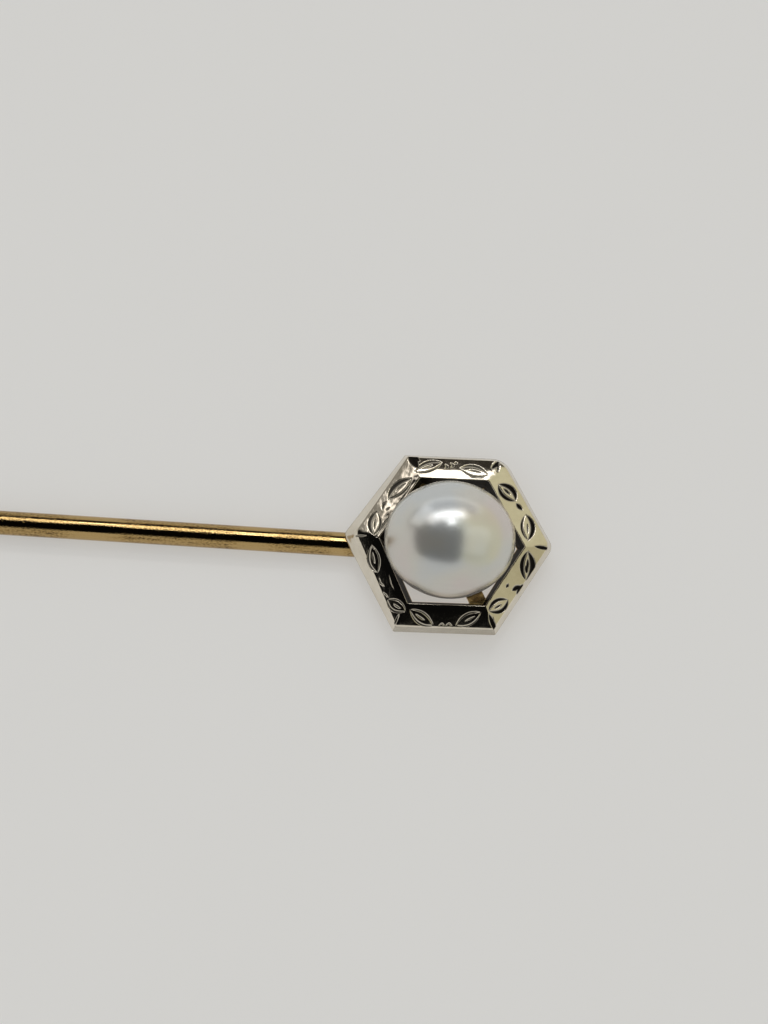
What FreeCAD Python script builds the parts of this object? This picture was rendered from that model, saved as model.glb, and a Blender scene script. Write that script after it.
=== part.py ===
import FreeCAD, Part
import math
import os

os.makedirs("parts", exist_ok=True)

# A pearl pin: a long round stem soldered under the back of an open six-sided head,
# with one pearl pegged on a bar across the opening.
# Millimetres. The origin is on the stem's axis, where its free length begins.
# +X runs to the head, -X to the point, and +Z is the way that the head's face looks.

# stem
stem_diameter = 1.1
free_length = 54.8          # origin to the tip
taper_length = 9.5          # slow taper behind the point
taper_end_diameter = 0.42
point_length = 1.5
tip_diameter = 0.1
tang_width = 0.92           # the soldered end is filed to a flat-sided tang
tang_drop = 0.08            # top of the stem down to the top of the tang
tang_height = 0.88
tang_round = 0.25           # along its two lower edges
tang_past_peg = 0.9         # how far the tang runs past the peg's centre

# solder
solder_film = 0.03          # between the tang and the head's back
solder_width = 1.6          # across a fillet at the head's back
solder_depth = 0.45         # how far a fillet climbs down the stem
corner_solder_length = 0.9
solder_in_outline = 0.12    # the corner's fillet stays this far inside the head's outline
bar_solder_length = 1.5
bar_end_solder = 0.12       # from the end of the bar to the ring

# pearl, an oval button with a flatter base
pearl_length = 6.0          # along X
pearl_width = 5.4           # along Y
pearl_crown = 2.4           # widest level up to the top
pearl_base = 0.77           # widest level down to the base
pearl_shift_x = -0.08       # the pearl stands a little off the middle of the head
pearl_shift_y = 0.01

# peg, cup and cement
peg_diameter = 0.7
peg_in_pearl = 1.6
drill_room = 0.08           # cement around the peg and above its end
cup_diameter = 3.2
cup_wall = 0.1
cup_foot_diameter = 1.3
cup_foot_height = 0.03
cement_gap = 0.05           # between the cup and the pearl

# frame, a channel that follows the outline: a steep outer wall, then a face that
# rises in a slack curve to a crest close to the opening, then a wall that leans inward
band_width = 1.1
frame_height = 0.97         # back plane to the crest
shoulder_height = 0.72      # top of the steep outer wall
shoulder_inset = 0.2
crest_inset = 0.95
arris_drop = 0.04           # crest down to the edge of the opening
inner_lean = 0.16           # how far the opening narrows behind that edge
frame_wall = 0.2
pearl_gap = 0.165           # pearl to the edge of the opening
head_gap = -0.02            # origin to the nearest corner, before the corner is worn round
head_shift_y = 0.2          # the head is soldered a little to one side of the stem

# backing ring and cross bar
ring_thickness = 0.25
ring_clearance = 0.02       # ring to the inside of the frame's skirt
ring_ledge = 0.04           # how far the ring's top shows inside the opening
ring_bevel = 0.12           # and how much further its edge slopes in to the back
bar_width = 0.75
bar_thickness = 0.25

# corners in order from +X, counterclockwise: how far the hand-made frame is off
# a regular hexagon, and the radius that each corner is worn to
corner_drift = [(0.03, 0.05), (-0.19, 0.1), (0.15, 0.01), (-0.01, 0.2), (-0.11, -0.14), (0.12, 0.0)]
corner_radius = [0.42, 0.42, 0.12, 0.3, 0.12, 0.15]
bar_from_corner = 2
bar_to_corner = 5

# levels
tang_top_z = stem_diameter / 2 - tang_drop
back_z = tang_top_z + solder_film
ring_top_z = back_z + ring_thickness
bar_top_z = back_z + bar_thickness
pearl_low_z = bar_top_z + cup_foot_height + cup_wall + cement_gap
girdle_z = pearl_low_z + pearl_base
arris_z = back_z + frame_height - arris_drop


def pearl_reach(angle, level):
    """Distance from the pearl's axis to a plane that touches it at this level and angle."""
    depth = (level - girdle_z) / (pearl_base if level < girdle_z else pearl_crown)
    share = math.sqrt(max(0.0, 1.0 - depth * depth))
    across = pearl_length / 2 * math.cos(angle)
    along = pearl_width / 2 * math.sin(angle)
    return share * math.hypot(across, along)


# the opening is made to clear the pearl, and the outline stands a band's width outside it
widest_reach = max(pearl_reach(math.radians(angle), arris_z) for angle in (30, 90))
half_flats = widest_reach + pearl_gap + band_width
corner_reach = half_flats / math.cos(math.radians(30))
head_x = head_gap + corner_reach
peg_x = head_x + pearl_shift_x
peg_y = head_shift_y + pearl_shift_y


def point(x, y, z):
    return FreeCAD.Vector(x, y, z)


def outline_corners():
    corners = []
    for number, (drift_x, drift_y) in enumerate(corner_drift):
        angle = math.radians(60 * number)
        x = head_x + corner_reach * math.cos(angle) + drift_x
        y = head_shift_y + corner_reach * math.sin(angle) + drift_y
        corners.append((x, y))
    return corners


def side_directions(corners, number):
    """Unit vectors along a side and inward from it."""
    x1, y1 = corners[number]
    x2, y2 = corners[(number + 1) % len(corners)]
    length = math.hypot(x2 - x1, y2 - y1)
    along = ((x2 - x1) / length, (y2 - y1) / length)
    inward = (-along[1], along[0])
    return along, inward, length


def inset_corners(inset):
    """Corners of the outline moved inward by inset, or outward if it is negative."""
    corners = outline_corners()
    moved = []
    for number, (x, y) in enumerate(corners):
        before, before_in, _ = side_directions(corners, number - 1)
        after, after_in, _ = side_directions(corners, number)
        scale = inset / (1.0 + before_in[0] * after_in[0] + before_in[1] * after_in[1])
        moved.append((x + scale * (before_in[0] + after_in[0]), y + scale * (before_in[1] + after_in[1])))
    return moved


def polygon_prism(corners, low, high):
    points = [point(x, y, low) for x, y in corners]
    face = Part.Face(Part.makePolygon(points + points[:1]))
    return face.extrude(point(0, 0, high - low))


def rounded_outline_prism(low, high):
    """The outline as a prism, with each corner at its own radius."""
    prism = polygon_prism(outline_corners(), low, high)
    for (x, y), radius in zip(outline_corners(), corner_radius):
        upright = [edge for edge in prism.Edges if is_upright_at(edge, x, y)]
        prism = prism.makeFillet(radius, upright)
    return prism


def is_upright_at(edge, x, y):
    ends = [vertex.Point for vertex in edge.Vertexes]
    return len(ends) == 2 and all(math.hypot(end.x - x, end.y - y) < 1e-6 for end in ends)


def half_ellipsoid(length, width, height, upward):
    ball = Part.makeSphere(1.0, point(0, 0, 0), point(0, 0, 1), 0, 90, 360)
    stretch = FreeCAD.Matrix()
    stretch.scale(length / 2, width / 2, height)
    half = ball.transformGeometry(stretch)
    if not upward:
        half.rotate(point(0, 0, 0), point(1, 0, 0), 180)
    half.translate(point(peg_x, peg_y, girdle_z))
    return half


def peg_cylinder(diameter, low, high):
    return Part.makeCylinder(diameter / 2, high - low, point(peg_x, peg_y, low))


def make_pearl():
    crown = half_ellipsoid(pearl_length, pearl_width, pearl_crown, True)
    base = half_ellipsoid(pearl_length, pearl_width, pearl_base, False)
    drilled = peg_cylinder(peg_diameter + 2 * drill_room, back_z, pearl_low_z + peg_in_pearl + drill_room)
    return crown.fuse(base).cut(drilled)


def grown_base(growth):
    """The pearl's base with a layer of this thickness over it."""
    return half_ellipsoid(pearl_length + 2 * growth, pearl_width + 2 * growth, pearl_base + growth, False)


def cup_column():
    return peg_cylinder(cup_diameter, back_z, girdle_z)


def make_cup():
    bowl = grown_base(cement_gap + cup_wall).common(cup_column())
    foot = peg_cylinder(cup_foot_diameter, bar_top_z, pearl_low_z + cup_wall)
    hollow = grown_base(cement_gap)
    return bowl.fuse(foot).cut(hollow).cut(peg_cylinder(peg_diameter, back_z, girdle_z))


def make_cement():
    layer = grown_base(cement_gap).common(cup_column())
    layer = layer.cut(grown_base(0))
    plug_top = pearl_low_z + peg_in_pearl + drill_room
    plug = peg_cylinder(peg_diameter + 2 * drill_room, pearl_low_z - cement_gap / 2, plug_top)
    peg = peg_cylinder(peg_diameter, back_z, pearl_low_z + peg_in_pearl)
    return layer.fuse(plug).cut(peg)


def make_peg():
    return peg_cylinder(peg_diameter, back_z, pearl_low_z + peg_in_pearl)


def bar_blank():
    """A flat strip through the peg, in line with two opposite corners and longer than the head."""
    corners = outline_corners()
    x1, y1 = corners[bar_from_corner]
    x2, y2 = corners[bar_to_corner]
    reach = 2 * corner_reach
    strip = Part.makeBox(2 * reach, bar_width, bar_thickness, point(-reach, -bar_width / 2, 0))
    strip.rotate(point(0, 0, 0), point(0, 0, 1), math.degrees(math.atan2(y2 - y1, x2 - x1)))
    strip.translate(point(peg_x, peg_y, back_z))
    return strip


def ring_opening(inset):
    """The ring's bevelled opening, or the same opening made smaller all round by inset."""
    top_inset = band_width + inner_lean + ring_ledge + inset
    loops = []
    for z, more in ((back_z, ring_bevel), (ring_top_z, 0.0)):
        points = [point(x, y, z) for x, y in inset_corners(top_inset + more)]
        loops.append(Part.makePolygon(points + points[:1]))
    return Part.makeLoft(loops, True, True)


def make_bar():
    return bar_blank().common(ring_opening(bar_end_solder)).cut(make_peg())


def make_bar_solder():
    return bar_blank().common(ring_opening(0)).cut(ring_opening(bar_end_solder))


def make_ring():
    lean = shoulder_inset * ring_thickness / shoulder_height   # of the frame's skirt at the ring's top
    outer = polygon_prism(inset_corners(frame_wall + lean + ring_clearance), back_z, ring_top_z)
    return outer.cut(ring_opening(0))


def frame_section():
    """Stretches of the channel as (inset, height above the back plane): two points or an arc's three."""
    shoulder = (shoulder_inset, shoulder_height)
    crest = (crest_inset, frame_height)
    arris = (band_width, frame_height - arris_drop)
    rise = frame_height - shoulder_height
    face_middle = ((shoulder_inset + crest_inset) / 2, shoulder_height + 0.68 * rise)
    inner_foot = (band_width + inner_lean, ring_thickness)
    inner_heel = (band_width + inner_lean - frame_wall, ring_thickness)
    inside_roof = (band_width - frame_wall, frame_height - frame_wall)
    skirt_lean = shoulder_inset / shoulder_height
    inside_shoulder_z = shoulder_height - 0.5 * frame_wall
    inside_shoulder = (frame_wall + skirt_lean * inside_shoulder_z, inside_shoulder_z)
    inside_foot = (frame_wall, 0)
    return [
        [(0, 0), shoulder],
        [shoulder, face_middle, crest],
        [crest, arris],
        [arris, inner_foot],
        [inner_foot, inner_heel],
        [inner_heel, inside_roof],
        [inside_roof, inside_shoulder],
        [inside_shoulder, inside_foot],
        [inside_foot, (0, 0)],
    ]


def frame_side(number):
    """One side of the channel, mitred at both ends."""
    corners = outline_corners()
    x, y = corners[number]
    along, inward, length = side_directions(corners, number)
    extra = 2 * band_width

    def place(inset, height):
        shift_x = x + inward[0] * inset - along[0] * extra
        shift_y = y + inward[1] * inset - along[1] * extra
        return point(shift_x, shift_y, back_z + height)

    edges = []
    for stretch in frame_section():
        ends = [place(inset, height) for inset, height in stretch]
        edge = Part.Arc(*ends).toShape() if len(ends) == 3 else Part.makeLine(*ends)
        edges.append(edge)
    travel = length + 2 * extra
    side = Part.Face(Part.Wire(edges)).extrude(point(along[0] * travel, along[1] * travel, 0))
    outside = inset_corners(-band_width)
    inside = inset_corners(1.3 * (band_width + inner_lean))
    after = (number + 1) % len(corners)
    mitre = [outside[number], outside[after], inside[after], inside[number]]
    return side.common(polygon_prism(mitre, back_z - 1, back_z + 2 * frame_height))


def make_frame():
    sides = [frame_side(number) for number in range(len(corner_drift))]
    band = sides[0].multiFuse(sides[1:])
    return band.common(rounded_outline_prism(back_z, back_z + 2 * frame_height))


def tang_end_x():
    return peg_x + tang_past_peg


def make_stem():
    radius = stem_diameter / 2
    taper_start = -(free_length - point_length - taper_length)
    point_start = -(free_length - point_length)
    free = Part.makeCylinder(radius, -taper_start, point(taper_start, 0, 0), point(1, 0, 0))
    taper = Part.makeCone(
        taper_end_diameter / 2, radius, taper_length, point(point_start, 0, 0), point(1, 0, 0))
    tip = Part.makeCone(
        tip_diameter / 2, taper_end_diameter / 2, point_length, point(-free_length, 0, 0), point(1, 0, 0))
    return free.fuse(taper).fuse(tip).fuse(stem_tang())


def stem_tang():
    """The soldered end of the stem, filed to a tang with two rounded lower edges."""
    low_z = tang_top_z - tang_height
    tang = Part.makeBox(tang_end_x(), tang_width, tang_height, point(0, -tang_width / 2, low_z))
    lower = [edge for edge in tang.Edges if edge.BoundBox.ZMax < low_z + 1e-6 and edge.BoundBox.YLength < 1e-6]
    return tang.makeFillet(tang_round, lower)


def solder_fillet(start_x, length):
    """Solder on both sides of the stem and in the film over its flat."""
    low_z = back_z - solder_film - solder_depth
    half_top = solder_width / 2
    half_low = tang_width / 2
    corners = [(-half_top, back_z), (half_top, back_z), (half_low, low_z), (-half_low, low_z)]
    points = [point(start_x, y, z) for y, z in corners]
    block = Part.Face(Part.makePolygon(points + points[:1])).extrude(point(length, 0, 0))
    return block.cut(stem_tang())


def make_stem_solder():
    under_head = polygon_prism(inset_corners(solder_in_outline), tang_top_z - tang_height, back_z)
    at_corner = solder_fillet(head_gap + frame_wall, corner_solder_length).common(under_head)
    at_bar = solder_fillet(peg_x - bar_solder_length / 2, bar_solder_length)
    return Part.makeCompound([at_corner, at_bar])


def solid_group(shape):
    """One clean solid, or a compound of them."""
    solids = shape.Solids
    return solids[0] if len(solids) == 1 else Part.makeCompound(solids)


nodes = {
    "engraved_frame": make_frame(),
    "backing_ring": make_ring(),
    "pearl_bar": make_bar(),
    "bar_solder": make_bar_solder(),
    "pearl_cup": make_cup(),
    "pearl_peg": make_peg(),
    "pearl_cement": make_cement(),
    "pearl": make_pearl(),
    "pin_stem": make_stem(),
    "stem_solder": make_stem_solder(),
}

for name, shape in nodes.items():
    solid_group(shape).exportStep("parts/" + name + ".step")
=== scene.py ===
import bmesh
import bpy
import math
import numpy as np
from mathutils import Matrix, Vector


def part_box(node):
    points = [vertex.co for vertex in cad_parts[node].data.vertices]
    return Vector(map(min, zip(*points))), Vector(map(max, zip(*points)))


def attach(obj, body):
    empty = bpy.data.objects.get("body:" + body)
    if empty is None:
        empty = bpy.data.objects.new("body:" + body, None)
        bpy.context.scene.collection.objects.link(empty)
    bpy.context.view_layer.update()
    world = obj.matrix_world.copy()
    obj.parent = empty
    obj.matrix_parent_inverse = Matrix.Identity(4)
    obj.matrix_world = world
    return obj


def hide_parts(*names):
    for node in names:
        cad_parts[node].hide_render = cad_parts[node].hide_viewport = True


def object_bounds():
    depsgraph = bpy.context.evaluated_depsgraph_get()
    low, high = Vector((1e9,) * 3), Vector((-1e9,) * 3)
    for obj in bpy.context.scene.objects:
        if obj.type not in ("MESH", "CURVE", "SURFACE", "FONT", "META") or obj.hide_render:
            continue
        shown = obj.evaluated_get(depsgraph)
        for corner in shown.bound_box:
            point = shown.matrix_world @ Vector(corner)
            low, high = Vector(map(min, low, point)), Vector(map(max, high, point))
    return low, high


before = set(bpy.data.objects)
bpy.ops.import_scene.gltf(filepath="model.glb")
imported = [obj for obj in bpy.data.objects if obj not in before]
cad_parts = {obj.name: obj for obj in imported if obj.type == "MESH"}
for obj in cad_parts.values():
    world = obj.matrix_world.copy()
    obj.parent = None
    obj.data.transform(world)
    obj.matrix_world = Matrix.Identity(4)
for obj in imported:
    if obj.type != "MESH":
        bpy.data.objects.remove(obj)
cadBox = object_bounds()
print("frame loaded")

mm = 0.001
pearlLow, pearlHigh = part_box("pearl")
stemLow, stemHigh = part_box("pin_stem")
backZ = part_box("backing_ring")[0].z / mm      # height of the head's back; sizes below are in mm too


# small helpers shared by the pieces

def meshPiece(name, verts, faces, material, smooth=True):
    mesh = bpy.data.meshes.new(name)
    mesh.from_pydata([tuple(v) for v in np.asarray(verts) * mm], [], faces)
    mesh.update()
    piece = bpy.data.objects.new(name, mesh)
    bpy.context.scene.collection.objects.link(piece)
    mesh.materials.append(material)
    if smooth:
        mesh.polygons.foreach_set("use_smooth", [True] * len(mesh.polygons))
    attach(piece, "root")
    return piece


def fixNormals(piece):
    work = bmesh.new()
    work.from_mesh(piece.data)
    bmesh.ops.remove_doubles(work, verts=work.verts, dist=1e-7)
    bmesh.ops.recalc_face_normals(work, faces=work.faces)
    work.to_mesh(piece.data)
    work.free()


def gridFaces(rows, columns, closedRows=False, closedColumns=False):
    faces = []
    for i in range(rows if closedRows else rows - 1):
        for j in range(columns if closedColumns else columns - 1):
            a, b = i * columns + j, i * columns + (j + 1) % columns
            c, d = ((i + 1) % rows) * columns + (j + 1) % columns, ((i + 1) % rows) * columns + j
            faces.append((a, b, c, d))
    return faces


def newMaterial(name):
    material = bpy.data.materials.new(name)
    material.use_nodes = True
    nodes = material.node_tree.nodes
    links = material.node_tree.links
    shader = nodes["Principled BSDF"]
    place = nodes.new("ShaderNodeTexCoord")
    return material, nodes, links, shader, place.outputs["Object"]


def noiseNode(nodes, links, place, scale, detail=4.0, rough=0.55, stretch=(1, 1, 1)):
    mapping = nodes.new("ShaderNodeMapping")
    mapping.inputs["Scale"].default_value = stretch
    links.new(place, mapping.inputs["Vector"])
    noise = nodes.new("ShaderNodeTexNoise")
    noise.inputs["Scale"].default_value = scale
    noise.inputs["Detail"].default_value = detail
    noise.inputs["Roughness"].default_value = rough
    links.new(mapping.outputs["Vector"], noise.inputs["Vector"])
    return noise.outputs["Fac"]


def rampNode(nodes, links, factor, stops):
    ramp = nodes.new("ShaderNodeValToRGB")
    while len(ramp.color_ramp.elements) < len(stops):
        ramp.color_ramp.elements.new(0.5)
    for element, (position, colour) in zip(ramp.color_ramp.elements, stops):
        element.position = position
        element.color = (*colour, 1.0)
    links.new(factor, ramp.inputs["Fac"])
    return ramp.outputs["Color"]


def rangeNode(nodes, links, factor, low, high, toLow, toHigh):
    remap = nodes.new("ShaderNodeMapRange")
    remap.inputs["From Min"].default_value = low
    remap.inputs["From Max"].default_value = high
    remap.inputs["To Min"].default_value = toLow
    remap.inputs["To Max"].default_value = toHigh
    links.new(factor, remap.inputs["Value"])
    return remap.outputs["Result"]


def layOver(nodes, links, under, colour, factor):
    mix = nodes.new("ShaderNodeMix")
    mix.data_type = "RGBA"
    links.new(factor, mix.inputs["Factor"])
    links.new(under, mix.inputs[6])
    mix.inputs[7].default_value = (*colour, 1.0)
    return mix.outputs[2]


def mathNode(nodes, links, operation, first, second):
    node = nodes.new("ShaderNodeMath")
    node.operation = operation
    for socket, value in zip(node.inputs, (first, second)):
        if isinstance(value, (int, float)):
            socket.default_value = value
        else:
            links.new(value, socket)
    return node.outputs["Value"]


def bumpNode(nodes, links, height, distance, normal=None):
    bump = nodes.new("ShaderNodeBump")
    bump.inputs["Distance"].default_value = distance
    bump.inputs["Strength"].default_value = 1.0
    links.new(height, bump.inputs["Height"])
    if normal is not None:
        links.new(normal, bump.inputs["Normal"])
    return bump.outputs["Normal"]


# finishes

whiteGold = {
    "clean": (0.80, 0.745, 0.64),
    "dull": (0.70, 0.64, 0.53),
    # near-black for the dirt in the cuts and for painted shade
    "grimeAndShade": (0.012, 0.010, 0.008),
    "grimeAndShadeMetal": 0.1,          # how metallic the darkest places, dirt in the cuts and painted shade elsewhere, still are
    "grimeAndShadeMatt": 0.45,          # roughness added by the dirt and the painted shade
    "grimeAndShadeGloss": 0.1,
    "rough": (0.07, 0.14),
    "cloudScale": 650.0,
    "waveScale": 1500.0,
    "wave": 0.000022,           # depth of the hand finish, in metres
    "scratchScale": 9000.0,
    "scratch": 0.0000035,
}


def whiteGoldMaterial():
    material, nodes, links, shader, place = newMaterial("engravedWhiteGold")
    cloud = noiseNode(nodes, links, place, whiteGold["cloudScale"], 5.0, 0.6)
    metal = rampNode(nodes, links, cloud, [(0.38, whiteGold["dull"]), (0.62, whiteGold["clean"])])
    # the attribute read here holds the dirt in the engraved cuts and the painted shade on the inner wall, the
    # hollow back and the lower outer wall; it lays near-black over the metal and makes it less metallic and
    # rougher
    attribute = nodes.new("ShaderNodeAttribute")
    attribute.attribute_name = "dirtAndShade"
    dirtAndShade = attribute.outputs["Fac"]
    links.new(layOver(nodes, links, metal, whiteGold["grimeAndShade"], dirtAndShade), shader.inputs["Base Color"])
    metallic = rangeNode(nodes, links, dirtAndShade, 0.0, 1.0, 1.0, whiteGold["grimeAndShadeMetal"])
    links.new(metallic, shader.inputs["Metallic"])
    low, high = whiteGold["rough"]
    polish = rangeNode(nodes, links, cloud, 0.3, 0.7, high, low)
    matt = mathNode(nodes, links, "MULTIPLY", dirtAndShade, whiteGold["grimeAndShadeMatt"])
    links.new(mathNode(nodes, links, "ADD", polish, matt), shader.inputs["Roughness"])
    shader.inputs["Specular IOR Level"].default_value = whiteGold["grimeAndShadeGloss"]
    # the slightly uneven face of hand finishing, then fine hairlines over it
    waves = noiseNode(nodes, links, place, whiteGold["waveScale"], 2.0, 0.5)
    handMade = bumpNode(nodes, links, waves, whiteGold["wave"])
    hairlines = noiseNode(nodes, links, place, whiteGold["scratchScale"], 2.0, 0.5, (1.0, 0.12, 1.0))
    surface = bumpNode(nodes, links, hairlines, whiteGold["scratch"], handMade)
    links.new(surface, shader.inputs["Normal"])
    return material


yellowGold = {
    "bright": (0.78, 0.56, 0.25),
    "worn": (0.58, 0.40, 0.17),
    "tarnish": (0.30, 0.19, 0.09),
    "rough": (0.16, 0.30),
    "cloudScale": 1500.0,
    "uneven": 0.000008,
}
ringFinish = {
    "paintedShade": (0.02, 0.015, 0.01),       # painted shade on the side that faces the pearl, in the gap under the frame
    "from": (0.01, 0.05),                   # heights above the back between which it sets in
    "metal": 0.15,
    "rough": (0.22, 0.5),
    "gloss": 0.3,
}


def tarnishedGold(nodes, links, place):
    cloud = noiseNode(nodes, links, place, yellowGold["cloudScale"], 6.0, 0.6)
    stops = [(0.30, yellowGold["tarnish"]), (0.44, yellowGold["worn"]), (0.60, yellowGold["bright"])]
    return cloud, rampNode(nodes, links, cloud, stops)


def sheetGoldMaterial():
    material, nodes, links, shader, place = newMaterial("sheetYellowGold")
    cloud, colour = tarnishedGold(nodes, links, place)
    links.new(colour, shader.inputs["Base Color"])
    shader.inputs["Metallic"].default_value = 1.0
    low, high = yellowGold["rough"]
    links.new(rangeNode(nodes, links, cloud, 0.3, 0.65, high, low), shader.inputs["Roughness"])
    links.new(bumpNode(nodes, links, cloud, yellowGold["uneven"]), shader.inputs["Normal"])
    return material


def ringMaterial():
    material, nodes, links, shader, place = newMaterial("ringYellowGold")
    cloud, colour = tarnishedGold(nodes, links, place)
    split = nodes.new("ShaderNodeSeparateXYZ")
    links.new(place, split.inputs[0])
    # painted shade: above this height the ring, hidden in the gap under the frame and the pearl, is laid over
    # with near-black, less metallic and rougher
    low, high = [(backZ + height) * mm for height in ringFinish["from"]]
    inside = rangeNode(nodes, links, split.outputs["Z"], low, high, 0.0, 1.0)
    colour = layOver(nodes, links, colour, ringFinish["paintedShade"], inside)
    links.new(colour, shader.inputs["Base Color"])
    links.new(rangeNode(nodes, links, inside, 0.0, 1.0, 1.0, ringFinish["metal"]), shader.inputs["Metallic"])
    behind, within = ringFinish["rough"]
    links.new(rangeNode(nodes, links, inside, 0.0, 1.0, behind, within), shader.inputs["Roughness"])
    shader.inputs["Specular IOR Level"].default_value = ringFinish["gloss"]
    links.new(bumpNode(nodes, links, cloud, yellowGold["uneven"]), shader.inputs["Normal"])
    return material


stemGold = {
    "bright": (0.50, 0.35, 0.155),
    "worn": (0.385, 0.258, 0.103),
    "dark": (0.10, 0.062, 0.028),
    # places that fingers and cloth have rubbed bright, set where the lamp's flashes run along the wire, as
    # (place along the stem, half length)
    "rubbed": [
        (-0.45, 0.35), (-4.3, 0.9), (-11.6, 1.2), (-19.5, 1.6), (-28.0, 1.3), (-37.0, 1.5), (-46.0, 2.0)],
    "rubbedHighlightLift": 0.16,
    "roughRubbed": 0.07,
    "roughWorn": 0.11,
    "speckScale": 13000.0,
    "streakScale": 9000.0,
    "streakStretch": 0.06,      # lower is longer along the wire
    "speckShare": 0.62,         # the rest is streaks left by drawing the wire
    "grain": 0.0000022,
    "pit": 0.000009,
    "pitRubbed": 0.25,
}


def stemGoldMaterial():
    material, nodes, links, shader, place = newMaterial("drawnYellowGold")
    split = nodes.new("ShaderNodeSeparateXYZ")
    links.new(place, split.inputs[0])
    rubbed = None
    for middle, half in stemGold["rubbed"]:
        past = mathNode(nodes, links, "SUBTRACT", split.outputs["X"], middle * mm)
        off = mathNode(nodes, links, "ABSOLUTE", past, 0.0)
        spot = rangeNode(nodes, links, off, half * mm * 0.4, half * mm * 1.3, 1.0, 0.0)
        rubbed = spot if rubbed is None else mathNode(nodes, links, "MAXIMUM", rubbed, spot)
    speck = noiseNode(nodes, links, place, stemGold["speckScale"], 3.0, 0.6, (0.7, 1.0, 1.0))
    stretch = (stemGold["streakStretch"], 1.0, 1.0)
    streak = noiseNode(nodes, links, place, stemGold["streakScale"], 3.0, 0.55, stretch)
    speckPart = mathNode(nodes, links, "MULTIPLY", speck, stemGold["speckShare"])
    streakPart = mathNode(nodes, links, "MULTIPLY", streak, 1 - stemGold["speckShare"])
    mixed = mathNode(nodes, links, "ADD", speckPart, streakPart)
    # partly painted highlight: the rubbed places get a lighter colour where the lamp flashes along the wire
    lift = mathNode(nodes, links, "MULTIPLY", rubbed, stemGold["rubbedHighlightLift"])
    stops = [(0.36, stemGold["dark"]), (0.47, stemGold["worn"]), (0.60, stemGold["bright"])]
    colour = rampNode(nodes, links, mathNode(nodes, links, "ADD", mixed, lift), stops)
    links.new(colour, shader.inputs["Base Color"])
    shader.inputs["Metallic"].default_value = 1.0
    rough = rangeNode(nodes, links, rubbed, 0.0, 1.0, stemGold["roughWorn"], stemGold["roughRubbed"])
    links.new(rough, shader.inputs["Roughness"])
    grain = bumpNode(nodes, links, streak, stemGold["grain"])
    pitDepth = rangeNode(nodes, links, rubbed, 0.0, 1.0, 1.0, stemGold["pitRubbed"])
    pits = mathNode(nodes, links, "MULTIPLY", speck, pitDepth)
    links.new(bumpNode(nodes, links, pits, stemGold["pit"], grain), shader.inputs["Normal"])
    return material


pearlSkin = {
    "body": (0.67, 0.66, 0.61),
    "blue": (0.62, 0.645, 0.65),
    "rose": (0.69, 0.635, 0.60),
    "lustre": 0.68,             # metallic share, for the deep sheen of nacre
    "rough": 0.25,
    "coat": 0.15,
    "coatRough": 0.16,
    "coatIor": 1.55,
    "tintScale": 330.0,
    "markScale": 2600.0,
    "mark": 0.0000025,
}


def pearlMaterial():
    material, nodes, links, shader, place = newMaterial("pearlNacre")
    drift = noiseNode(nodes, links, place, pearlSkin["tintScale"], 2.0, 0.5)
    stops = [(0.36, pearlSkin["blue"]), (0.5, pearlSkin["body"]), (0.66, pearlSkin["rose"])]
    links.new(rampNode(nodes, links, drift, stops), shader.inputs["Base Color"])
    shader.inputs["Metallic"].default_value = pearlSkin["lustre"]
    shader.inputs["Roughness"].default_value = pearlSkin["rough"]
    shader.inputs["Coat Weight"].default_value = pearlSkin["coat"]
    shader.inputs["Coat Roughness"].default_value = pearlSkin["coatRough"]
    shader.inputs["Coat IOR"].default_value = pearlSkin["coatIor"]
    marks = noiseNode(nodes, links, place, pearlSkin["markScale"], 3.0, 0.5)
    links.new(bumpNode(nodes, links, marks, pearlSkin["mark"]), shader.inputs["Normal"])
    return material


plainFinishes = {
    "goldSolder": {
        "colours": [(0.70, 0.50, 0.22), (0.80, 0.62, 0.33)], "scale": 4000.0, "uneven": 0.00001,
        "rough": 0.42, "metal": 1.0},
    "pearlCement": {
        "colours": [(0.74, 0.66, 0.50), (0.82, 0.75, 0.62)], "scale": 3000.0, "uneven": 0.00001,
        "rough": 0.7, "metal": 0.0},
}


def plainMaterial(name):
    finish = plainFinishes[name]
    material, nodes, links, shader, place = newMaterial(name)
    cloud = noiseNode(nodes, links, place, finish["scale"], 4.0, 0.6)
    first, second = finish["colours"]
    links.new(rampNode(nodes, links, cloud, [(0.35, first), (0.65, second)]), shader.inputs["Base Color"])
    shader.inputs["Metallic"].default_value = finish["metal"]
    rough = rangeNode(nodes, links, cloud, 0.3, 0.7, finish["rough"], finish["rough"] * 0.75)
    links.new(rough, shader.inputs["Roughness"])
    links.new(bumpNode(nodes, links, cloud, finish["uneven"]), shader.inputs["Normal"])
    return material


goldFrame = whiteGoldMaterial()
goldStem = stemGoldMaterial()
goldSheet = sheetGoldMaterial()
darkRing = ringMaterial()
nacre = pearlMaterial()
solderGold = plainMaterial("goldSolder")
cementPaste = plainMaterial("pearlCement")
print("finishes made")


# engraved frame

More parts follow.
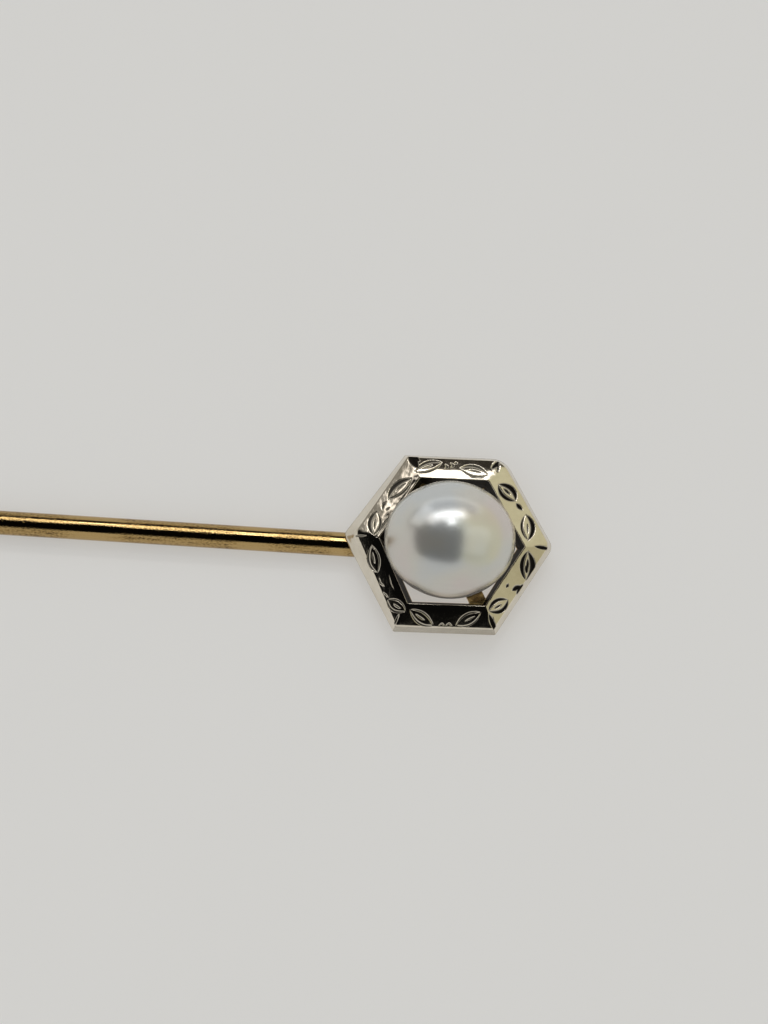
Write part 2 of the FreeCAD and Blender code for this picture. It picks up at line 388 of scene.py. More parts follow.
# Corners and sides count anticlockwise from the corner furthest from the stem. An inset is the
# distance from the outline inward.
head = {
    "centre": (4.59, 0.2),
    "cornerReach": 4.61,
    # how far each corner of the handmade outline lies from a true hexagon's
    "cornerDrift": [(0.03, 0.01), (-0.19, 0.1), (0.15, 0.01), (0.12, 0.02), (-0.11, -0.14), (0.03, 0.0)],
    "flaredCorner": 3,
    "flare": (-0.34, -0.08),        # how far that corner's foot spreads past its arris
    "outerRound": [0.55, 1.05, 0.12, 0.5, 0.12, 0.15],
    "innerRound": [0.07, 0.22, 0.07, 0.08, 0.1, 0.07],
    "band": 1.1,
    "bandExtra": [0.02, 0.08, 0.02, 0.02, 0.08, 0.02],      # how much wider each side is at the opening
    "footExtra": [0.11, 0.0, 0.12, -0.07, 0.0, -0.05],      # and at the foot
    "easedOver": (0.25, 1.0),       # insets between which one passes into the other
    # painted shade on the outer wall of each side; only side 4, the lower one, is darkened
    "wallPaintedShade": [0.0, 0.0, 0.0, 0.0, 0.3, 0.0],
    "height": 0.97,
    "footEdge": [(0.03, 0.0), (0.008, 0.012), (0.003, 0.04)],       # inset and height, from below
    "wallSteps": 8,
    "shoulder": (0.2, 0.655),       # inset and height of the arris between wall and face
    "shoulderEase": [(0.022, 0.045, 0.3), (0.006, 0.012, 0.6)],     # short of it, below it, share of cuts
    "crest": 0.95,
    "rim": [(0.075, 0.0, 1.0), (0.03, 0.0, 0.8), (0.014, 0.001, 0.4), (0.003, 0.014, 0.1)],    # likewise
    "rimFlat": 0.03,                # the face stops rising this far from the opening
    "faceSlopes": [(0.2, 0.49), (0.45, 0.46), (0.68, 0.43), (0.77, 0.30), (1.06, 0.25)],    # by inset
    "arrisDrop": 0.04,
    "lean": 0.16,                   # how far the inner wall leans in, on its way down to the ring
    "leanSteps": 6,
    "wall": 0.2,
    "ringTop": 0.25,
    "stepsOnSide": 190,
    "stepsOnCorner": 16,
    "stepsAcrossFace": 46,
}

# Leaves: side, root and tip as (distance along the side, inset), half width, then how wide the
# outer and inner cuts and the vein are.
leaves = [
    {"side": 0, "root": (0.85, 0.86), "tip": (1.95, 0.36), "half": 0.26, "cuts": (0.17, 0.10), "vein": 0.07},
    {"side": 0, "root": (3.72, 0.80), "tip": (2.72, 0.47), "half": 0.26, "cuts": (0.19, 0.15), "vein": 0.10},
    {"side": 1, "root": (0.62, 0.92), "tip": (1.90, 0.66), "half": 0.25, "cuts": (0.11, 0.09), "vein": 0.08},
    {"side": 1, "root": (3.95, 0.92), "tip": (2.72, 0.42), "half": 0.22, "cuts": (0.12, 0.10), "vein": 0.07},
    {"side": 2, "root": (0.95, 0.82), "tip": (2.30, 0.46), "half": 0.24, "cuts": (0.17, 0.10), "vein": 0.06},
    {"side": 2, "root": (4.05, 0.86), "tip": (3.08, 0.36), "half": 0.25, "cuts": (0.14, 0.10), "vein": 0.08},
    {"side": 3, "root": (0.78, 0.66), "tip": (2.02, 0.42), "half": 0.25, "cuts": (0.12, 0.10), "vein": 0.09},
    {"side": 3, "root": (4.15, 0.90), "tip": (3.32, 0.36), "half": 0.25, "cuts": (0.13, 0.10), "vein": 0.09},
    {"side": 4, "root": (0.80, 0.90), "tip": (1.85, 0.26), "half": 0.25, "cuts": (0.12, 0.11), "vein": 0.09},
    {"side": 4, "root": (4.00, 0.88), "tip": (2.90, 0.30), "half": 0.25, "cuts": (0.10, 0.12), "vein": 0.08},
    {"side": 5, "root": (3.84, 0.88), "tip": (2.74, 0.26), "half": 0.25, "cuts": (0.20, 0.14), "vein": 0.10},
    {"side": 5, "root": (0.60, 0.86), "tip": (1.52, 0.44), "half": 0.25, "cuts": (0.13, 0.12), "vein": 0.08},
]

# Single cuts: side, then points as (distance along the side, inset), width.
singleCuts = [
    {"side": 0, "line": [(2.60, 0.50), (2.40, 0.46), (2.20, 0.40)], "width": 0.15},
    {"side": 5, "line": [(2.52, 0.26), (2.26, 0.24), (1.98, 0.26)], "width": 0.16},
    {"side": 5, "line": [(2.40, 0.30), (2.20, 0.42), (1.98, 0.50)], "width": 0.15},
    {"side": 5, "line": [(3.30, 0.62), (3.00, 0.38)], "width": 0.12},
    {"side": 5, "line": [(2.12, 0.82), (1.92, 0.78)], "width": 0.09},
    {"side": 4, "line": [(2.12, 0.24), (2.26, 0.34), (2.38, 0.24)], "width": 0.08},
    {"side": 4, "line": [(2.44, 0.26), (2.58, 0.36), (2.72, 0.24)], "width": 0.08},
    {"side": 3, "line": [(2.28, 0.40), (2.50, 0.36), (2.72, 0.46)], "width": 0.09},
    {"side": 3, "line": [(2.92, 0.30), (3.08, 0.38), (3.24, 0.42)], "width": 0.08},
    {"side": 3, "line": [(2.30, 0.86), (2.75, 0.78), (3.10, 0.80)], "width": 0.05},
    {"side": 2, "line": [(2.46, 0.46), (2.66, 0.42), (2.86, 0.52)], "width": 0.11},
    {"side": 2, "line": [(2.60, 0.74), (2.82, 0.66)], "width": 0.08},
    {"side": 2, "line": [(0.60, 0.98), (1.50, 1.00), (2.60, 0.97)], "width": 0.06},
    {"side": 2, "line": [(2.90, 0.98), (3.60, 0.95), (4.10, 0.98)], "width": 0.07},
    {"side": 1, "line": [(2.58, 0.50), (2.48, 0.62), (2.58, 0.74)], "width": 0.10},
    {"side": 1, "line": [(2.34, 0.42), (2.20, 0.54), (2.32, 0.64)], "width": 0.09},
    {"side": 1, "line": [(2.16, 0.40), (2.02, 0.44)], "width": 0.09},
]

# Darts on the corners: where they start and end on the way to the centre, width, turn in degrees.
darts = [
    {"corner": 0, "span": (0.12, 0.86), "width": 0.20, "turn": -2.0},
    {"corner": 1, "span": (0.22, 0.78), "width": 0.22, "turn": -12.0},
    {"corner": 1, "span": (0.34, 0.80), "width": 0.12, "turn": 22.0},
    {"corner": 2, "span": (0.06, 0.86), "width": 0.42, "turn": 6.0},
    {"corner": 2, "span": (0.10, 0.66), "width": 0.36, "turn": 32.0},
    {"corner": 3, "span": (0.06, 0.70), "width": 0.09, "turn": 3.0},
    {"corner": 4, "span": (0.14, 0.76), "width": 0.12, "turn": 10.0},
    {"corner": 5, "span": (0.04, 0.92), "width": 0.24, "turn": -3.0},
    {"corner": 5, "span": (0.22, 0.80), "width": 0.07, "turn": -17.0},
]


engraver = {
    "widen": [1.5, 1.3, 1.4, 0.9, 0.85, 1.6],       # by side, as the cuts were made with more or less force
    "depthShare": 0.58,
    "mostDeep": 0.14,
    "swell": 0.55,                  # lower is blunter at a cut's two ends
    "outerBow": 1.05,               # bows of a leaf's lines, as shares of its half width
    "outerSkew": 0.52,
    "innerBow": 0.85,
    "veinBow": 0.12,
    "veinPart": (3, 9),             # the vein keeps these points of its bow
    "bowSteps": 12,
    "leans": {"leaf": 0.35, "vein": 0.2, "cut": 0.25, "dart": 0.1},     # how one-sided each cut's V is
    # how dark the cuts get on each side, as dirt and painted shade
    "dirtAndShadeBySide": [1.0, 0.9, 0.9, 0.94, 0.94, 1.0],
    "dirtAndShadeFrom": [0.06, 0.06, 0.06, 0.028, 0.028, 0.05],     # depth at which a cut is fully dark with dirt and painted shade
    "dartDirtAndShadeFrom": 0.035,
}


def outlineCorners():
    places = []
    for number, (driftX, driftY) in enumerate(head["cornerDrift"]):
        angle = math.radians(60 * number)
        x = head["centre"][0] + head["cornerReach"] * math.cos(angle) + driftX
        y = head["centre"][1] + head["cornerReach"] * math.sin(angle) + driftY
        places.append(np.array((x, y)))
    return places


def outlineSides():
    found = []
    for number in range(6):
        start, end = corners[number], corners[(number + 1) % 6]
        along = (end - start) / np.linalg.norm(end - start)
        found.append({"start": start, "along": along, "inward": np.array((-along[1], along[0]))})
    return found


corners = outlineCorners()
sides = outlineSides()


def sideInset(number, inset):
    low, high = head["easedOver"]
    inward = min(max((inset - low) / (high - low), 0.0), 1.0)
    return inset + head["bandExtra"][number] * inward - head["footExtra"][number] * (1 - inward)


def insetCorner(number, inset):
    before, after = sides[number - 1]["inward"], sides[number]["inward"]
    shifts = np.array((sideInset((number - 1) % 6, inset), sideInset(number, inset)))
    place = corners[number] + np.linalg.solve(np.array((before, after)), shifts)
    if number == head["flaredCorner"]:
        place = place + np.array(head["flare"]) * max(0.0, 1 - inset / head["shoulder"][0])
    return place


def cornerRounding(number, inset):
    # turn of the outline at a corner, radius of its rounding, length that it takes off each side
    turn = math.acos(sides[number - 1]["along"] @ sides[number]["along"])
    outer, inner = head["outerRound"][number], head["innerRound"][number]
    radius = outer + (inner - outer) * inset / head["band"]
    return turn, radius, radius * math.tan(turn / 2)


def insetLoop(inset):
    # the outline moved inward, its corners rounded, always with the same count of points
    points = []
    for number in range(6):
        nextOne = (number + 1) % 6
        corner, nextCorner = insetCorner(number, inset), insetCorner(nextOne, inset)
        before, here = sides[number - 1], sides[number]
        turn, radius, cut = cornerRounding(number, inset)
        nextCut = cornerRounding(nextOne, inset)[2]
        arcStart = corner - before["along"] * cut
        centre = arcStart + before["inward"] * radius
        first = math.atan2(*(arcStart - centre)[::-1])
        for step in range(head["stepsOnCorner"]):
            angle = first + turn * step / head["stepsOnCorner"]
            points.append(centre + radius * np.array((math.cos(angle), math.sin(angle))))
        lineStart = corner + here["along"] * cut
        lineEnd = nextCorner - here["along"] * nextCut
        for step in range(head["stepsOnSide"]):
            points.append(lineStart + (lineEnd - lineStart) * step / head["stepsOnSide"])
    return np.array(points)


def faceHeight(inset):
    # the face rises steeply near the outline and more gently near the opening
    places, slopes = np.array(head["faceSlopes"]).T
    steps = np.linspace(head["shoulder"][0], inset, 60)
    return head["shoulder"][1] + float(np.trapz(np.interp(steps, places, slopes), steps))


def outerProfile():
    # foot, outer wall and engraved face, as (inset, height above the back, share of cuts)
    shoulderIn, shoulderUp = head["shoulder"]
    band = head["band"]
    profile = [(inset, height, 0.0) for inset, height in head["footEdge"]]
    foot = head["footEdge"][-1][0]
    wallEnd = shoulderIn - 0.02
    for step in range(1, head["wallSteps"]):
        share = step / head["wallSteps"]
        profile.append((foot + (wallEnd - foot) * share, shoulderUp * share, 0.0))
    for short, below, cutShare in head["shoulderEase"]:
        profile.append((shoulderIn - short, shoulderUp - below, cutShare))
    faceStart = shoulderIn + 0.01
    for step in range(head["stepsAcrossFace"]):
        inset = faceStart + (head["crest"] - faceStart) * step / (head["stepsAcrossFace"] - 1)
        profile.append((inset, faceHeight(inset), 1.0))
    for short, below, cutShare in head["rim"]:
        rise = faceHeight(band - max(short, head["rimFlat"]))
        profile.append((band - short, rise - below, cutShare))
    return profile


def innerProfile():
    # the wall round the opening, then the hollow back
    shoulderIn, shoulderUp = head["shoulder"]
    band, wall, ringTop = head["band"], head["wall"], head["ringTop"]
    arris = head["height"] - head["arrisDrop"]
    profile = [(band, arris - 0.012, 0.0)]
    for step in range(1, head["leanSteps"] + 1):
        share = step / head["leanSteps"]
        profile.append((band + head["lean"] * share, arris + (ringTop + 0.01 - arris) * share, 0.0))
    footIn = band + head["lean"]
    hollow = [
        (footIn - 0.02, ringTop),
        (footIn - wall, ringTop),
        (band - wall, head["height"] - wall),
        (wall + shoulderIn * 0.86, shoulderUp - 0.1),
        (wall + shoulderIn * 0.3, shoulderUp * 0.3),
        (wall, 0.0),
    ]
    return profile + [(inset, height, 0.0) for inset, height in hollow]


def strokeDepth(points, line, width, depth, lean):
    # depth of one graver cut at each point: a V whose floor lies to one side, tapered at both ends
    line = np.array(line, dtype=float)
    low, high = line.min(axis=0) - width, line.max(axis=0) + width
    near = np.where(((points >= low) & (points <= high)).all(axis=1))[0]
    if len(near) == 0:
        return near, np.zeros(0)
    p = points[near]
    steps = np.linalg.norm(np.diff(line, axis=0), axis=1)
    reach = np.concatenate(([0.0], np.cumsum(steps)))
    best = np.full(len(p), np.inf)
    signed = np.zeros(len(p))       # distance from the line, positive on its left
    where = np.zeros(len(p))        # share of the way along it
    for k in range(len(line) - 1):
        a, b = line[k], line[k + 1]
        direction = (b - a) / steps[k]
        t = np.clip((p - a) @ direction, 0.0, steps[k])
        offset = p - a - t[:, None] * direction
        distance = np.linalg.norm(offset, axis=1)
        side = direction[0] * offset[:, 1] - direction[1] * offset[:, 0]
        closer = distance < best
        best[closer] = distance[closer]
        signed[closer] = (np.sign(side) * distance)[closer]
        where[closer] = (reach[k] + t)[closer] / reach[-1]
    swell = np.sin(np.pi * np.clip(where, 0.02, 0.98)) ** engraver["swell"]
    q = signed / np.maximum(width / 2 * swell, 1e-6)
    share = np.where(q > lean, (1 - q) / (1 - lean), (1 + q) / (1 + lean))
    inside = np.abs(q) < 1.0
    return near[inside], (depth * swell * np.clip(share, 0.0, 1.0))[inside]


def bowedLine(start, end, bulge, skew=0.5):
    # a smooth bow between two points; bulge is to the left of the way from start to end
    start, end = np.array(start), np.array(end)
    span = end - start
    left = np.array((-span[1], span[0])) / np.linalg.norm(span)
    points = []
    for step in range(engraver["bowSteps"] + 1):
        t = step / engraver["bowSteps"]
        shape = 4.0 * (t ** (2 * skew)) * ((1 - t) ** (2 * (1 - skew)))
        points.append(start + span * t + left * bulge * shape)
    return points


def leafStrokes():
    # every cut on the faces as (side, points, width, lean)
    strokes = []
    leans = engraver["leans"]
    for leaf in leaves:
        root, tip, half = leaf["root"], leaf["tip"], leaf["half"]
        outward = 1.0 if tip[0] < root[0] else -1.0
        outer = bowedLine(root, tip, outward * half * engraver["outerBow"], engraver["outerSkew"])
        inner = bowedLine(root, tip, -outward * half * engraver["innerBow"])
        first, last = engraver["veinPart"]
        vein = bowedLine(root, tip, outward * half * engraver["veinBow"])[first:last]
        strokes.append((leaf["side"], outer, leaf["cuts"][0], leans["leaf"] * outward))
        strokes.append((leaf["side"], inner, leaf["cuts"][1], -leans["leaf"] * outward))
        strokes.append((leaf["side"], vein, leaf["vein"], leans["vein"] * outward))
    for cut in singleCuts:
        strokes.append((cut["side"], cut["line"], cut["width"], leans["cut"]))
    return strokes


def toPlan(side, place):
    frameSide = sides[side]
    return frameSide["start"] + frameSide["along"] * place[0] + frameSide["inward"] * place[1]


def addCut(depth, points, line, width, lean):
    deep = min(width * engraver["depthShare"], engraver["mostDeep"])
    near, cut = strokeDepth(points, line, width, deep, lean)
    depth[near] = np.maximum(depth[near], cut)


def leafDepth(points):
    depth = np.zeros(len(points))
    for side, line, width, lean in leafStrokes():
        planLine = [toPlan(side, place) for place in line]
        addCut(depth, points, planLine, width * engraver["widen"][side], lean)
    return depth


def dartDepth(points):
    depth = np.zeros(len(points))
    middle = np.array(head["centre"])
    for dart in darts:
        corner = corners[dart["corner"]]
        inward = (middle - corner) / np.linalg.norm(middle - corner)
        turn = math.radians(dart["turn"])
        turned = np.array((
            inward[0] * math.cos(turn) - inward[1] * math.sin(turn),
            inward[0] * math.sin(turn) + inward[1] * math.cos(turn)))
        first, last = dart["span"]
        start = corner + inward * first
        line = [start, start + turned * (last - first)]
        addCut(depth, points, line, dart["width"], engraver["leans"]["dart"])
    return depth


def sideNumbers(loop):
    # the side that each point of a loop belongs to
    offset = loop - np.array(head["centre"])
    angle = np.degrees(np.arctan2(offset[:, 1], offset[:, 0])) % 360
    return np.minimum((angle // 60).astype(int), 5)


def cutDirtAndShade(number, leafCut, dartCut):
    # old polish and dirt held by the cuts, with painted shade in their floors, more on some sides than on
    # others as the light falls on each
    full = np.array(engraver["dirtAndShadeFrom"])[number]
    inLeaves = np.clip(leafCut / full, 0.0, 1.0) * np.array(engraver["dirtAndShadeBySide"])[number]
    return np.maximum(inLeaves, np.clip(dartCut / engraver["dartDirtAndShadeFrom"], 0.0, 1.0))


def buildEngravedFrame():
    loops, dirtAndShadeShares = [], []
    for inset, height, cutShare in outerProfile() + innerProfile():
        loop = insetLoop(inset)
        number = sideNumbers(loop)
        z = np.full(len(loop), height)
        if cutShare > 0:
            leafCut, dartCut = leafDepth(loop), dartDepth(loop)
            z = z - np.maximum(leafCut, dartCut) * cutShare
            dirtAndShade = cutDirtAndShade(number, leafCut, dartCut)
        elif inset >= head["band"]:
            # painted shade: the inner wall round the pearl and the hollow back are darkened in full
            dirtAndShade = np.ones(len(loop))
        else:
            # painted shade on the outer wall of the lower side
            dirtAndShade = np.array(head["wallPaintedShade"])[number]
        loops.append(np.column_stack((loop, z + backZ)))
        dirtAndShadeShares.append(dirtAndShade)
    faces = gridFaces(len(loops), len(loops[0]), True, True)
    piece = meshPiece("engravedFrame", np.concatenate(loops), faces, goldFrame)
    attribute = piece.data.attributes.new("dirtAndShade", "FLOAT", "POINT")
    attribute.data.foreach_set("value", np.concatenate(dirtAndShadeShares).astype(np.float32))
    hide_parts("engraved_frame")


buildEngravedFrame()
print("engraved frame cut")


# pearl

pearlForm = {
    "rings": 96,
    "spokes": 160,
    "within": 0.999,            # share of the design's width, so that it stays inside it
    "base": 0.77,               # depth below the girdle
    "egg": (0.018, 140),        # how much narrower it is across this direction, in degrees
    "flat": (0.02, 222),        # how much it is flattened towards this one
}


def pearlShrink(angle):
    flat, flatAt = pearlForm["flat"]
    egg, eggAt = pearlForm["egg"]
    flattened = 1.0 - flat * (0.5 + 0.5 * math.cos(angle - math.radians(flatAt))) ** 3
    return flattened * (1.0 - egg * (0.5 + 0.5 * math.cos(2 * (angle - math.radians(eggAt)))) ** 2)


def buildPearl():
    low, high = np.array(pearlLow) / mm, np.array(pearlHigh) / mm
    centre = (low + high) / 2
    halfX, halfY = (high - low)[:2] / 2 * pearlForm["within"]
    girdle = low[2] + pearlForm["base"]
    crown = high[2] - girdle
    verts = []
    for ring in range(pearlForm["rings"] + 1):
        polar = math.pi * ring / pearlForm["rings"]
        up = math.cos(polar)
        z = girdle + up * (crown if up > 0 else pearlForm["base"])
        for spoke in range(pearlForm["spokes"]):
            angle = 2 * math.pi * spoke / pearlForm["spokes"]
            out = math.sin(polar) * pearlShrink(angle)
            x = centre[0] + halfX * out * math.cos(angle)
            y = centre[1] + halfY * out * math.sin(angle)
            verts.append((x, y, z))
    faces = gridFaces(pearlForm["rings"] + 1, pearlForm["spokes"], False, True)
    piece = meshPiece("pearlNacre", verts, [f[::-1] for f in faces], nacre)
    fixNormals(piece)
    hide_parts("pearl")


buildPearl()
print("pearl set")


# stem

stemForm = {
    "radius": 0.55,
    "tip": [(0.001, 0.012), (0.015, 0.035), (0.05, 0.055)],     # distance from the end, radius
    "point": 1.5,
    "pointBow": 0.9,                # below 1 is fuller than a straight cone
    "taper": 9.5,
    "taperEnd": 0.21,
    "taperBow": 0.92,
    "underHead": 0.42,              # how far the round wire runs under the head
    "endEdge": [(0.012, 0.004), (0.02, 0.02)],      # past its end, radius taken off
    "spokes": 72,
    "pointSteps": 8,
    "taperSteps": 40,
    "wireSteps": 120,
}
tangForm = {
    "width": 0.92,
    "low": -0.41,
    "high": 0.47,
    "rounding": 0.25,               # of its two lower edges
    "roundingSteps": 8,
    "lap": 0.05,                    # starts this far inside the round wire
    "endEdge": (0.03, 0.95),        # length of the filed end, and its share of the section
}


def stemStations():
    # (place along the stem, radius) from the point to the head
    tipX = stemLow.x / mm
    radius, taperEnd, underHead = stemForm["radius"], stemForm["taperEnd"], stemForm["underHead"]
    tipRadius = stemForm["tip"][-1][1]
    stations = [(tipX + past, small) for past, small in stemForm["tip"]]
    for step in range(1, stemForm["pointSteps"] + 1):
        share = step / stemForm["pointSteps"]
        bowed = share ** stemForm["pointBow"]
        stations.append((tipX + stemForm["point"] * share, tipRadius + (taperEnd - tipRadius) * bowed))
    for step in range(1, stemForm["taperSteps"] + 1):
        share = step / stemForm["taperSteps"]
        bowed = share ** stemForm["taperBow"]
        x = tipX + stemForm["point"] + stemForm["taper"] * share
        stations.append((x, taperEnd + (radius - taperEnd) * bowed))
    start = stations[-1][0]
    for step in range(1, stemForm["wireSteps"] + 1):
        stations.append((start + (underHead - start) * step / stemForm["wireSteps"], radius))
    return stations + [(underHead + past, radius - less) for past, less in stemForm["endEdge"]]


def buildStem():
    spokes = stemForm["spokes"]
    stations = stemStations()
    verts = []
    for x, radius in stations:
        for spoke in range(spokes):
            angle = 2 * math.pi * spoke / spokes
            verts.append((x, radius * math.cos(angle), radius * math.sin(angle)))
    faces = [f[::-1] for f in gridFaces(len(stations), spokes, False, True)]
    last = (len(stations) - 1) * spokes
    faces.append(tuple(range(spokes)))
    faces.append(tuple(last + k for k in range(spokes))[::-1])
    piece = meshPiece("stemWire", verts, faces, goldStem)
    fixNormals(piece)
    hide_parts("pin_stem")


def tangSection():
    # flat top and sides, with the two lower edges rounded
    half, low, high, rounding = tangForm["width"] / 2, tangForm["low"], tangForm["high"], tangForm["rounding"]
    quarter = [math.pi / 2 * k / tangForm["roundingSteps"] for k in range(1, tangForm["roundingSteps"])]
    section = [(-half, high), (-half, low + rounding)]
    for angle in quarter:
        section.append((-half + rounding * (1 - math.cos(angle)), low + rounding * (1 - math.sin(angle))))
    section += [(-half + rounding, low), (half - rounding, low)]
    for angle in quarter:
        section.append((half - rounding * (1 - math.sin(angle)), low + rounding * (1 - math.cos(angle))))
    return section + [(half, low + rounding), (half, high)]


def buildTang():
    section = tangSection()
    count = len(section)
    start, end = stemForm["underHead"] - tangForm["lap"], stemHigh.x / mm
    edge, edgeShare = tangForm["endEdge"]
    middle = (tangForm["low"] + tangForm["high"]) / 2
    verts = []
    for x, shrink in ((start, 1.0), (end - edge, 1.0), (end, edgeShare)):
        verts += [(x, y * shrink, middle + (z - middle) * shrink) for y, z in section]
    faces = gridFaces(3, count, False, True)
    faces += [tuple(range(count)), tuple(range(2 * count, 3 * count))[::-1]]
    piece = meshPiece("stemTang", verts, faces, goldStem, smooth=False)
    fixNormals(piece)


buildStem()
buildTang()
print("stem drawn")


# finishes on the pieces kept from the design

keptPieces = {
    "backing_ring": darkRing,
    "pearl_bar": goldSheet,
    "pearl_cup": goldSheet,
    "pearl_peg": goldSheet,
    "bar_solder": solderGold,
    "stem_solder": solderGold,
    "pearl_cement": cementPaste,
}
for node, material in keptPieces.items():
    for place in bpy.data.objects[node].material_slots:
        place.link = "OBJECT"
        place.material = material
print("kept pieces finished")


# floor

floorForm = {
    "half": 1.2,                # metres
    "colour": (0.52, 0.52, 0.512),
    "glow": (0.34, 0.335, 0.325),       # keeps the tray pale under the soft light
    "rough": 0.85,
    "gloss": 0.1,
    "unevenness": 0.985,
}


def buildFloor():
    z, half = cadBox[0].z, floorForm["half"]
    mesh = bpy.data.meshes.new("studioFloor")
    outline = [(-half, -half, z), (half, -half, z), (half, half, z), (-half, half, z)]
    mesh.from_pydata(outline, [], [(0, 1, 2, 3)])
    floor = bpy.data.objects.new("studioFloor", mesh)
    bpy.context.scene.collection.objects.link(floor)
    material, nodes, links, shader, place = newMaterial("paleTray")
    cloud = noiseNode(nodes, links, place, 60.0, 3.0, 0.5)
    duller = tuple(c * floorForm["unevenness"] for c in floorForm["colour"])
    colour = rampNode(nodes, links, cloud, [(0.3, duller), (0.7, floorForm["colour"])])
    links.new(colour, shader.inputs["Base Color"])
    shader.inputs["Roughness"].default_value = floorForm["rough"]
    shader.inputs["Specular IOR Level"].default_value = floorForm["gloss"]
    shader.inputs["Emission Color"].default_value = (*floorForm["glow"], 1.0)
    shader.inputs["Emission Strength"].default_value = 1.0
    mesh.materials.append(material)


buildFloor()


# light: a soft studio, which the metals see as zones of sky

zones = {
    "even": (0.45, 0.45, 0.447),        # what pale, matt things are lit by
    "behind": (0.63, 0.63, 0.62),       # what is seen past the tray's edge
    "mid": (0.64, 0.63, 0.60),
    "warm": (0.66, 0.64, 0.47),
    "grey": (0.27, 0.26, 0.24),
    "khaki": (0.50, 0.475, 0.33),
    "dark": (0.003, 0.003, 0.003),
    "shade": (0.03, 0.026, 0.022),
    "panel": (1.7, 1.62, 1.56),
    "tube": (5.5, 5.5, 5.4),
}

# Layers of sky from the lowest up, in degrees. A round zone has its azimuth, elevation, half angle
# and softness. A card has its azimuth and elevation, its spans across and up from there, its
# softness and turn. One with both is a card cut off by the round zone.
skyLayers = [
    {"colour": "warm", "round": (10, 38, 52, 7)},
    {"colour": "khaki", "round": (342, 46, 22, 7)},
    {"colour": "grey", "round": (143, 31, 19, 7)},
    {"colour": "shade", "card": (90, 27), "across": (-32, 32), "up": (-9, 12), "soft": 3, "turn": 0},
    {"colour": "dark", "card": (270, 89.99), "across": (-55, 22), "up": (-46, 28), "soft": 5, "turn": 0,
     "round": (206, 61, 50, 6)},
    {"colour": "panel", "card": (100, 50), "across": (-26, 25), "up": (-7.5, 9), "soft": 2, "turn": 6},
    {"colour": "tube", "card": (96, 48), "across": (-20, 18), "up": (-2.2, 2.2), "soft": 1.5, "turn": 0},
    {"colour": "tube", "round": (88, 63, 4.5, 2)},
]


def skyDirection(azimuth, elevation):
    a, e = math.radians(azimuth), math.radians(elevation)
    return Vector((math.cos(a) * math.cos(e), math.sin(a) * math.cos(e), math.sin(e)))


def dotNode(nodes, links, direction, axis):
    dot = nodes.new("ShaderNodeVectorMath")
    dot.operation = "DOT_PRODUCT"
    dot.inputs[1].default_value = axis
    links.new(direction, dot.inputs[0])
    return dot.outputs["Value"]


def softStep(nodes, links, value, low, high):
    step = nodes.new("ShaderNodeMapRange")
    step.interpolation_type = "SMOOTHSTEP"
    step.inputs["From Min"].default_value = low
    step.inputs["From Max"].default_value = high
    links.new(value, step.inputs["Value"])
    return step.outputs["Result"]


def roundZone(nodes, links, direction, layer):
    # 1 inside a cone around a direction, fading to 0 across its edge
    azimuth, elevation, angle, soft = layer["round"]
    dot = dotNode(nodes, links, direction, skyDirection(azimuth, elevation))
    outer, inner = math.cos(math.radians(angle + soft)), math.cos(math.radians(angle - soft))
    return softStep(nodes, links, dot, outer, inner)


def cardZone(nodes, links, direction, layer):
    # 1 inside a soft-edged rectangle of sky
    azimuth, elevation = layer["card"]
    ahead = skyDirection(azimuth, elevation)
    level = Vector((-math.sin(math.radians(azimuth)), math.cos(math.radians(azimuth)), 0))
    upright = ahead.cross(level)
    turn = math.radians(layer["turn"])
    right = level * math.cos(turn) + upright * math.sin(turn)
    up = upright * math.cos(turn) - level * math.sin(turn)
    forward = mathNode(nodes, links, "MAXIMUM", dotNode(nodes, links, direction, ahead), 0.001)
    mask = None
    for axis, span in ((right, layer["across"]), (up, layer["up"])):
        slope = mathNode(nodes, links, "DIVIDE", dotNode(nodes, links, direction, axis), forward)
        for limit, inward in ((span[0], layer["soft"]), (span[1], -layer["soft"])):
            low, high = math.tan(math.radians(limit - inward)), math.tan(math.radians(limit + inward))
            edge = softStep(nodes, links, slope, low, high)
            mask = edge if mask is None else mathNode(nodes, links, "MULTIPLY", mask, edge)
    return mask


def buildSky():
    world = bpy.data.worlds.new("softStudio")
    bpy.context.scene.world = world
    world.use_nodes = True
    nodes, links = world.node_tree.nodes, world.node_tree.links
    direction = nodes.new("ShaderNodeTexCoord").outputs["Generated"]
    base = nodes.new("ShaderNodeRGB")
    base.outputs[0].default_value = (*zones["mid"], 1.0)
    colour = base.outputs[0]
    for layer in skyLayers:
        masks = []
        if "card" in layer:
            masks.append(cardZone(nodes, links, direction, layer))
        if "round" in layer:
            masks.append(roundZone(nodes, links, direction, layer))
        mask = masks[0] if len(masks) == 1 else mathNode(nodes, links, "MULTIPLY", *masks)
        colour = layOver(nodes, links, colour, zones[layer["colour"]], mask)
    path = nodes.new("ShaderNodeLightPath")
    matt = layOver(nodes, links, colour, zones["even"], path.outputs["Is Diffuse Ray"])
    seen = layOver(nodes, links, matt, zones["behind"], path.outputs["Is Camera Ray"])
    links.new(seen, nodes["Background"].inputs["Color"])
    nodes["Background"].inputs["Strength"].default_value = 1.0


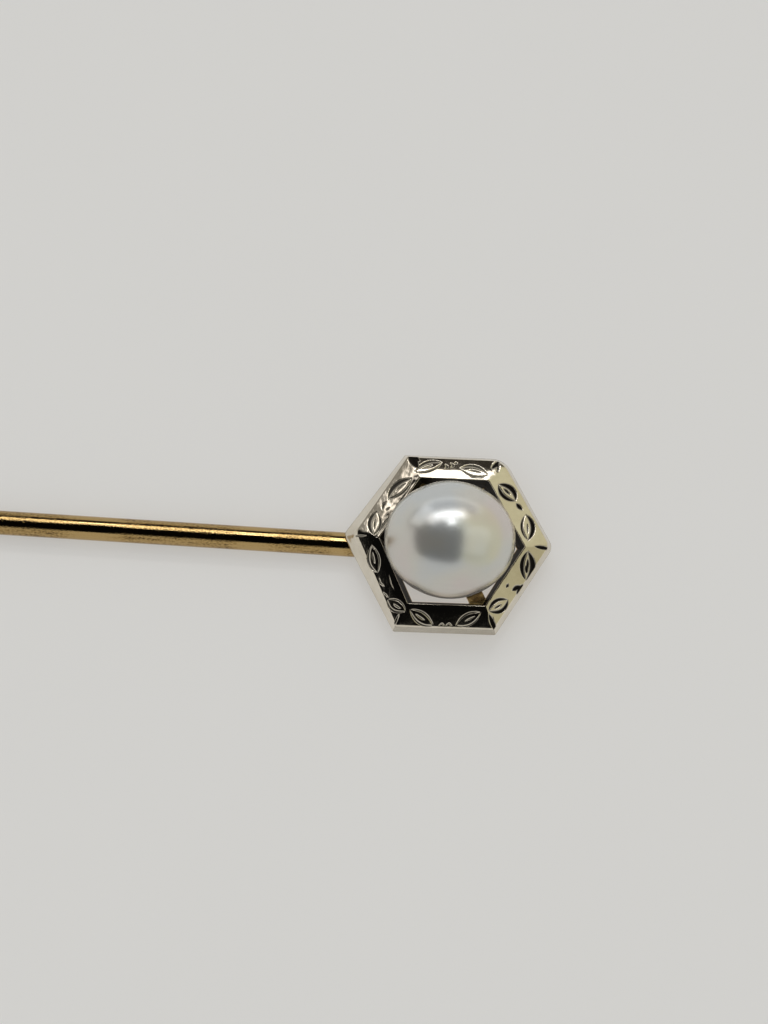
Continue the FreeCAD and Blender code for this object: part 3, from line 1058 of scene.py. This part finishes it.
# Soft cards: direction as (azimuth, elevation), size in mm and how bright they look.
pearlFills = {
    "reach": 60.0,
    "colour": (0.95, 0.97, 1.0),
    "cards": [
        {"from": (90, 25), "wide": 84.0, "tall": 25.0, "radiance": 0.5},
        {"from": (356, 50), "wide": 52.0, "tall": 46.0, "radiance": 0.24},
        {"from": (138, 31), "wide": 34.0, "tall": 26.0, "radiance": 0.62},
    ],
}


def buildPearlFills():
    # they even out the pearl's slopes and light nothing else
    lit = bpy.data.collections.new("pearlOnly")
    lit.objects.link(bpy.data.objects["pearlNacre"])
    middle = (Vector(pearlLow) + Vector(pearlHigh)) / 2
    for number, card in enumerate(pearlFills["cards"]):
        data = bpy.data.lights.new("pearlFill%d" % number, "AREA")
        data.shape = "RECTANGLE"
        data.size, data.size_y = card["wide"] * mm, card["tall"] * mm
        data.energy = card["radiance"] * math.pi * data.size * data.size_y
        data.color = pearlFills["colour"]
        fill = bpy.data.objects.new("pearlFill%d" % number, data)
        bpy.context.scene.collection.objects.link(fill)
        towards = skyDirection(*card["from"])
        fill.location = middle + towards * pearlFills["reach"] * mm
        fill.rotation_euler = towards.to_track_quat("Z", "Y").to_euler()
        fill.visible_camera = False
        fill.light_linking.receiver_collection = lit


buildSky()
buildPearlFills()
print("studio lit")


# camera

view = {
    "elevation": 80.0,          # degrees
    "roll": 3.62,
    "aim": (1.509, 1.561, 0.275),
    "distance": 150.0,
    "lens": 116.016,
}


def buildCamera():
    data = bpy.data.cameras.new("viewCamera")
    camera = bpy.data.objects.new("viewCamera", data)
    bpy.context.scene.collection.objects.link(camera)
    data.sensor_fit = "AUTO"
    data.sensor_width = 36.0
    data.lens = view["lens"]
    data.clip_start, data.clip_end = 0.001, 10.0
    elevation, roll = math.radians(view["elevation"]), math.radians(view["roll"])
    back = Vector((0, -math.cos(elevation), math.sin(elevation)))
    level, upright = Vector((1, 0, 0)), Vector((0, math.sin(elevation), math.cos(elevation)))
    right = level * math.cos(roll) + upright * math.sin(roll)
    up = upright * math.cos(roll) - level * math.sin(roll)
    camera.location = (Vector(view["aim"]) + back * view["distance"]) * mm
    camera.rotation_mode = "QUATERNION"
    camera.rotation_quaternion = Matrix((right, up, back)).transposed().to_quaternion()
    bpy.context.scene.camera = camera


buildCamera()
bpy.context.scene.view_settings.view_transform = "Standard"
print("camera placed")
